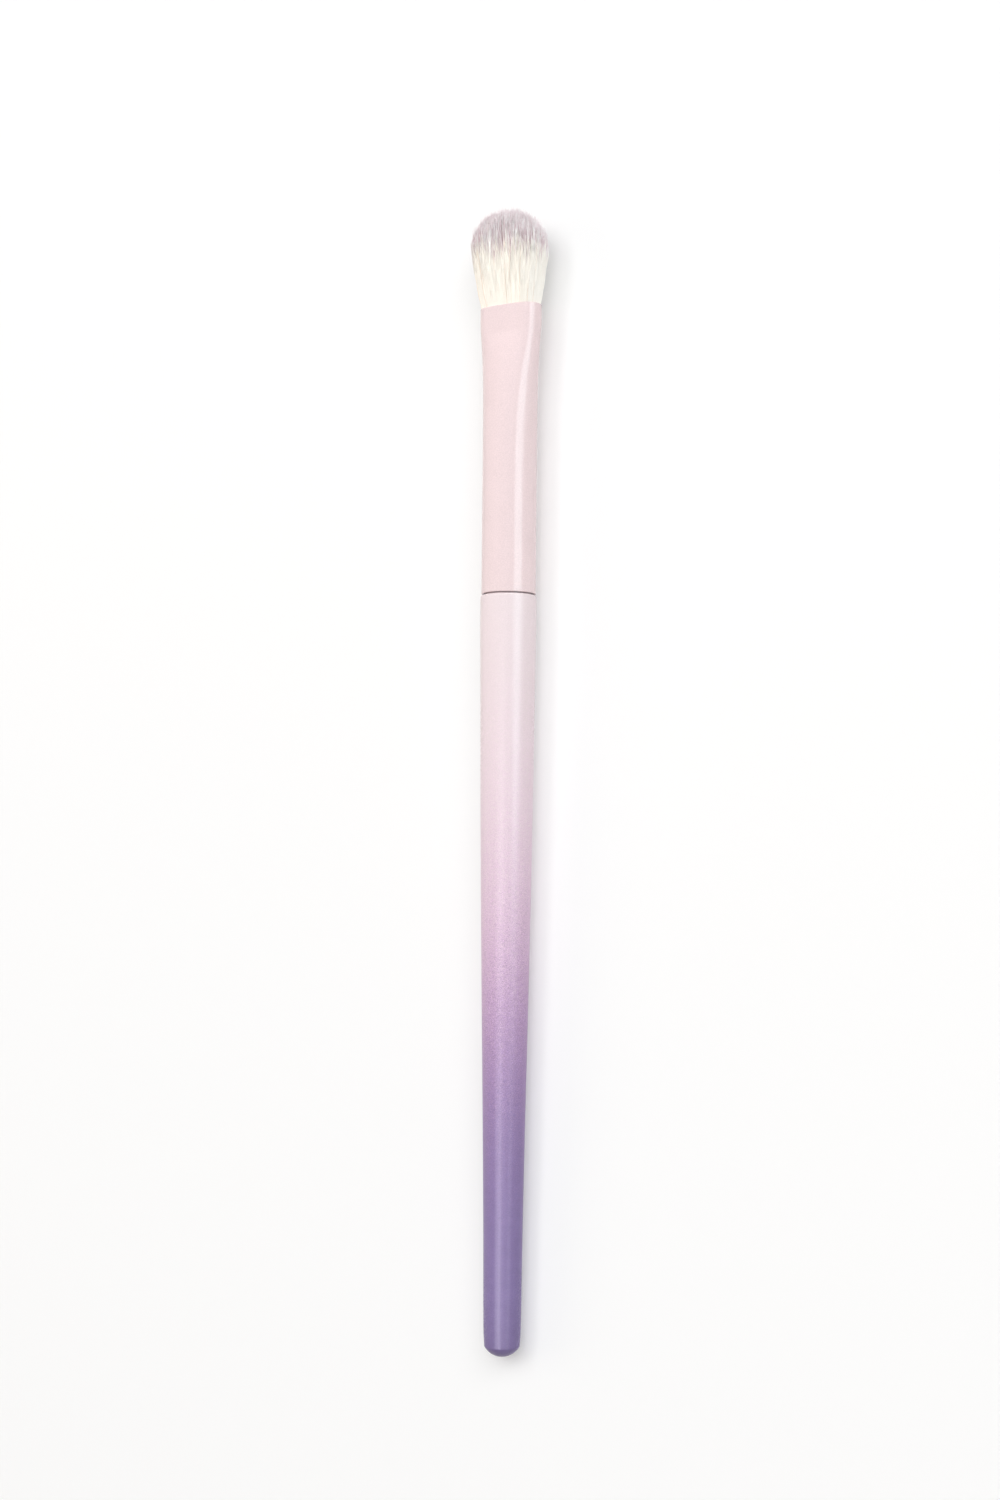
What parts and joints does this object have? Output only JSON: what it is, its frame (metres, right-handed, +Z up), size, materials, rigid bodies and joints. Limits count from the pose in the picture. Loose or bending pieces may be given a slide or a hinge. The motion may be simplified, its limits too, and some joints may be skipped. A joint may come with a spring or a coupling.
{
  "type": "makeup brush",
  "caption": "Flat eye-shadow brush: a tapered, lacquered round handle, a metal ferrule pressed flat at its mouth, and a domed tuft of soft pale bristles with tinted tips.",
  "frame": {"origin": "on the table, under the middle of the brush's length and width", "axes": "+Y runs along the brush to the tips of its bristles, +Z is up, and the ferrule's two flats face up and down"},
  "size_m": [0.0122, 0.17, 0.0084],
  "materials": {
    "handle": "satin lacquer that fades from pale pink at the ferrule to purple at the butt",
    "ferrule": "satin pale pink paint on drawn aluminium tube",
    "bristles": "soft cream synthetic fibres with mauve tips",
    "root_glue": "fibre ends set in cured clear epoxy",
    "handle_glue": "cured glue"
  },
  "bodies": {
    "root": {"handle": "handle", "ferrule": "ferrule", "bristle_tuft": "bristles", "bonded_root": "root_glue", "handle_glue": "handle_glue"}
  },
  "joints": []
}
